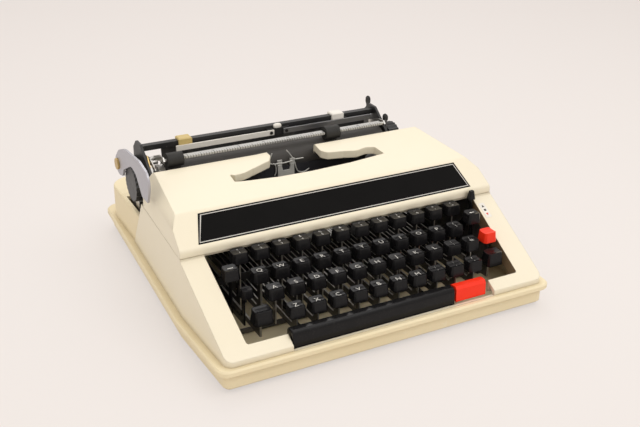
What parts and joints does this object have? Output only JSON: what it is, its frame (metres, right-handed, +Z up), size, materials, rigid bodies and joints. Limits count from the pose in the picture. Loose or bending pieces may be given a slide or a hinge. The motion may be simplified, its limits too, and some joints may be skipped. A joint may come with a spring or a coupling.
{
  "type": "portable manual typewriter",
  "caption": "Portable typewriter in a tray base: keyed rows on levers, lift-off cover, sliding carriage with platen, bail, margin stops and return lever.",
  "frame": {"origin": "centre of the space the whole machine fills, at the underside of its feet", "axes": "+X to the typist's right, +Y from the keyboard to the back, +Z up"},
  "size_m": [0.322, 0.328, 0.1259],
  "materials": {
    "case_plastic": "moulded cream case plastic, softly glossy",
    "base_plastic": "yellower cream plastic of the carrying-case base",
    "stripe": "black lacquered strip with a thin light border",
    "key_plastic": "black moulded key caps",
    "red_plastic": "red moulded caps",
    "steel": "plain steel strip and wire",
    "dark_steel": "black enamelled steel",
    "rubber": "hard dark rubber",
    "knob_plastic": "black ribbed plastic",
    "brass": "machined brass",
    "silver_paint": "silver painted steel",
    "white_plastic": "off-white plastic",
    "yellowed_plastic": "yellowed plastic",
    "ribbon_cloth": "inked ribbon cloth",
    "aluminium": "light alloy"
  },
  "bodies": {
    "frame": {"base_tray": "base_plastic", "base_feet": "rubber", "housing": "case_plastic", "chassis": "dark_steel", "key_comb": "dark_steel", "fulcrum_rod": "steel", "carriage_rail": "steel", "ribbon_plates": "dark_steel", "ribbon": "ribbon_cloth", "bell": "brass"},
    "cover": {"top_cover": "case_plastic", "stripe_panel": "stripe"},
    "space_bar_body": {"space_bar": "key_plastic"},
    "repeat_bar_body": {"repeat_bar": "red_plastic"},
    "margin_release": {"margin_release_key": "key_plastic"},
    "backspace": {"backspace_key": "key_plastic"},
    "tabulator": {"tab_key": "red_plastic"},
    "shift": {"shift_frame": "steel", "shift_keys": "key_plastic"},
    "shift_lock_body": {"shift_lock": "key_plastic"},
    "type_basket": {"type_segment": "steel", "type_bars": "steel", "type_guide": "steel"},
    "left_spool": {"ribbon_spool_left": "aluminium"},
    "right_spool": {"ribbon_spool_right": "aluminium"},
    "colour_lever": {"colour_selector": "key_plastic"},
    "escapement": {"escape_wheel": "brass"},
    "mainspring": {"mainspring_drum": "steel"},
    "carriage": {"carriage_frame": "dark_steel", "carriage_end_left": "dark_steel", "carriage_end_right": "dark_steel", "paper_table": "dark_steel", "support_clip": "dark_steel", "margin_rail": "dark_steel", "line_spacer": "steel", "lever_screw": "brass"},
    "platen_roll": {"platen": "rubber", "platen_shaft": "steel", "platen_knob_left": "knob_plastic", "platen_knob_right": "knob_plastic", "line_ratchet": "steel"},
    "feed": {"feed_rollers": "rubber"},
    "bail": {"paper_bail": "steel"},
    "left_bail_roller": {"bail_roller_left": "rubber"},
    "right_bail_roller": {"bail_roller_right": "rubber"},
    "left_margin": {"margin_stop_left": "yellowed_plastic"},
    "right_margin": {"margin_stop_right": "white_plastic"},
    "carriage_return": {"return_lever": "silver_paint"},
    "paper_release": {"paper_release_lever": "steel"},
    "carriage_release": {"carriage_release_lever": "steel"},
    "left_support": {"paper_support_left": "white_plastic"},
    "right_support": {"paper_support_right": "aluminium"},
    "number_row": {"number_row_caps": "key_plastic", "number_row_levers": "steel"},
    "upper_row": {"upper_row_caps": "key_plastic", "upper_row_levers": "steel"},
    "home_row": {"home_row_caps": "key_plastic", "home_row_levers": "steel"},
    "lower_row": {"lower_row_caps": "key_plastic", "lower_row_levers": "steel"}
  },
  "joints": [
    {"name": "cover_lift", "type": "slide", "parent": "frame", "child": "cover", "axis": [0, 0, 1], "range_m": [0, 0.045]},
    {"name": "number_row_press", "type": "hinge", "parent": "frame", "child": "number_row", "pos_m": [0, 0.075, 0.025], "axis": [1, 0, 0], "range_deg": [0, 3.8], "stiffness_Nm_per_rad": 8, "springref_deg": -2.86},
    {"name": "upper_row_press", "type": "hinge", "parent": "frame", "child": "upper_row", "pos_m": [0, 0.075, 0.025], "axis": [1, 0, 0], "range_deg": [0, 3.8], "stiffness_Nm_per_rad": 8, "springref_deg": -2.86},
    {"name": "home_row_press", "type": "hinge", "parent": "frame", "child": "home_row", "pos_m": [0, 0.075, 0.025], "axis": [1, 0, 0], "range_deg": [0, 3.8], "stiffness_Nm_per_rad": 8, "springref_deg": -2.86},
    {"name": "lower_row_press", "type": "hinge", "parent": "frame", "child": "lower_row", "pos_m": [0, 0.075, 0.025], "axis": [1, 0, 0], "range_deg": [0, 3.8], "stiffness_Nm_per_rad": 8, "springref_deg": -2.86},
    {"name": "space_bar_press", "type": "hinge", "parent": "frame", "child": "space_bar_body", "pos_m": [0, 0.075, 0.025], "axis": [1, 0, 0], "range_deg": [0, 1.6], "stiffness_Nm_per_rad": 3, "springref_deg": -3.44},
    {"name": "repeat_bar_press", "type": "hinge", "parent": "frame", "child": "repeat_bar_body", "pos_m": [0, 0.075, 0.025], "axis": [1, 0, 0], "range_deg": [0, 1.6], "stiffness_Nm_per_rad": 1.5, "springref_deg": -3.44},
    {"name": "margin_release_press", "type": "hinge", "parent": "frame", "child": "margin_release", "pos_m": [0, 0.075, 0.025], "axis": [1, 0, 0], "range_deg": [0, 3], "stiffness_Nm_per_rad": 1, "springref_deg": -3.44},
    {"name": "backspace_press", "type": "hinge", "parent": "frame", "child": "backspace", "pos_m": [0, 0.075, 0.025], "axis": [1, 0, 0], "range_deg": [0, 3], "stiffness_Nm_per_rad": 1, "springref_deg": -3.44},
    {"name": "tab_press", "type": "hinge", "parent": "frame", "child": "tabulator", "pos_m": [0, 0.075, 0.025], "axis": [1, 0, 0], "range_deg": [0, 3], "stiffness_Nm_per_rad": 1, "springref_deg": -3.44},
    {"name": "shift_press", "type": "hinge", "parent": "frame", "child": "shift", "pos_m": [0, 0.075, 0.025], "axis": [1, 0, 0], "range_deg": [0, 2.8], "stiffness_Nm_per_rad": 4, "springref_deg": -3.44},
    {"name": "shift_lock_press", "type": "hinge", "parent": "shift", "child": "shift_lock_body", "pos_m": [0, 0.075, 0.025], "axis": [1, 0, 0], "range_deg": [0, 1.2], "stiffness_Nm_per_rad": 1, "springref_deg": -3.44},
    {"name": "basket_shift", "type": "slide", "parent": "frame", "child": "type_basket", "axis": [0, 0, -1], "range_m": [0, 0.0065]},
    {"name": "left_spool_turn", "type": "hinge", "parent": "frame", "child": "left_spool", "pos_m": [-0.088, 0.005, 0.083], "axis": [0, 0, 1], "continuous": true},
    {"name": "right_spool_turn", "type": "hinge", "parent": "frame", "child": "right_spool", "pos_m": [0.088, 0.005, 0.083], "axis": [0, 0, 1], "continuous": true},
    {"name": "colour_select", "type": "hinge", "parent": "frame", "child": "colour_lever", "pos_m": [0.1295, -0.06, 0.033], "axis": [1, 0, 0], "range_deg": [0, 12]},
    {"name": "carriage_travel", "type": "slide", "parent": "frame", "child": "carriage", "axis": [1, 0, 0], "range_m": [-0.115, 0]},
    {"name": "escape_turn", "type": "hinge", "parent": "frame", "child": "escapement", "pos_m": [-0.00514, 0.0875, 0.05491], "axis": [0, 1, 0], "range_deg": [-900, 900]},
    {"name": "drum_turn", "type": "hinge", "parent": "frame", "child": "mainspring", "pos_m": [-0.104, 0.0905, 0.033], "axis": [0, 1, 0], "range_deg": [-900, 900]},
    {"name": "platen_turn", "type": "hinge", "parent": "carriage", "child": "platen_roll", "pos_m": [0, 0.055, 0.09], "axis": [1, 0, 0], "continuous": true},
    {"name": "feed_turn", "type": "hinge", "parent": "carriage", "child": "feed", "pos_m": [0, 0.0625, 0.07006], "axis": [1, 0, 0], "continuous": true},
    {"name": "bail_lift", "type": "hinge", "parent": "carriage", "child": "bail", "pos_m": [0, 0.0705, 0.104], "axis": [1, 0, 0], "range_deg": [-40, 0]},
    {"name": "left_bail_roller_turn", "type": "hinge", "parent": "bail", "child": "left_bail_roller", "pos_m": [-0.1132, 0.04536, 0.11066], "axis": [1, 0, 0], "continuous": true},
    {"name": "right_bail_roller_turn", "type": "hinge", "parent": "bail", "child": "right_bail_roller", "pos_m": [0.0465, 0.04536, 0.11066], "axis": [1, 0, 0], "continuous": true},
    {"name": "left_margin_slide", "type": "slide", "parent": "carriage", "child": "left_margin", "axis": [1, 0, 0], "range_m": [-0.018, 0.07]},
    {"name": "right_margin_slide", "type": "slide", "parent": "carriage", "child": "right_margin", "axis": [1, 0, 0], "range_m": [-0.04, 0.03]},
    {"name": "return_swing", "type": "hinge", "parent": "carriage", "child": "carriage_return", "pos_m": [-0.155, 0.082, 0.1], "axis": [1, 0, 0], "range_deg": [-75, 0]},
    {"name": "paper_release_pull", "type": "hinge", "parent": "carriage", "child": "paper_release", "pos_m": [0.111, 0.0775, 0.098], "axis": [1, 0, 0], "range_deg": [0, 20]},
    {"name": "carriage_release_pull", "type": "hinge", "parent": "carriage", "child": "carriage_release", "pos_m": [0.111, 0.042, 0.089], "axis": [1, 0, 0], "range_deg": [0, 15], "stiffness_Nm_per_rad": 0.05, "springref_deg": -11.46},
    {"name": "left_support_raise", "type": "hinge", "parent": "carriage", "child": "left_support", "pos_m": [-0.008, 0.0651, 0.1121], "axis": [0, 1, 0], "range_deg": [0, 80]},
    {"name": "right_support_raise", "type": "hinge", "parent": "carriage", "child": "right_support", "pos_m": [0.008, 0.0651, 0.1121], "axis": [0, 1, 0], "range_deg": [-80, 0]}
  ],
  "couplings": [
    {"joint": "basket_shift", "follows": "shift_press", "m_per_rad": 0.13198},
    {"joint": "escape_turn", "follows": "carriage_travel", "rad_per_m": 123.68},
    {"joint": "drum_turn", "follows": "carriage_travel", "rad_per_m": 58.824},
    {"joint": "feed_turn", "follows": "platen_turn", "ratio": -3.2}
  ]
}
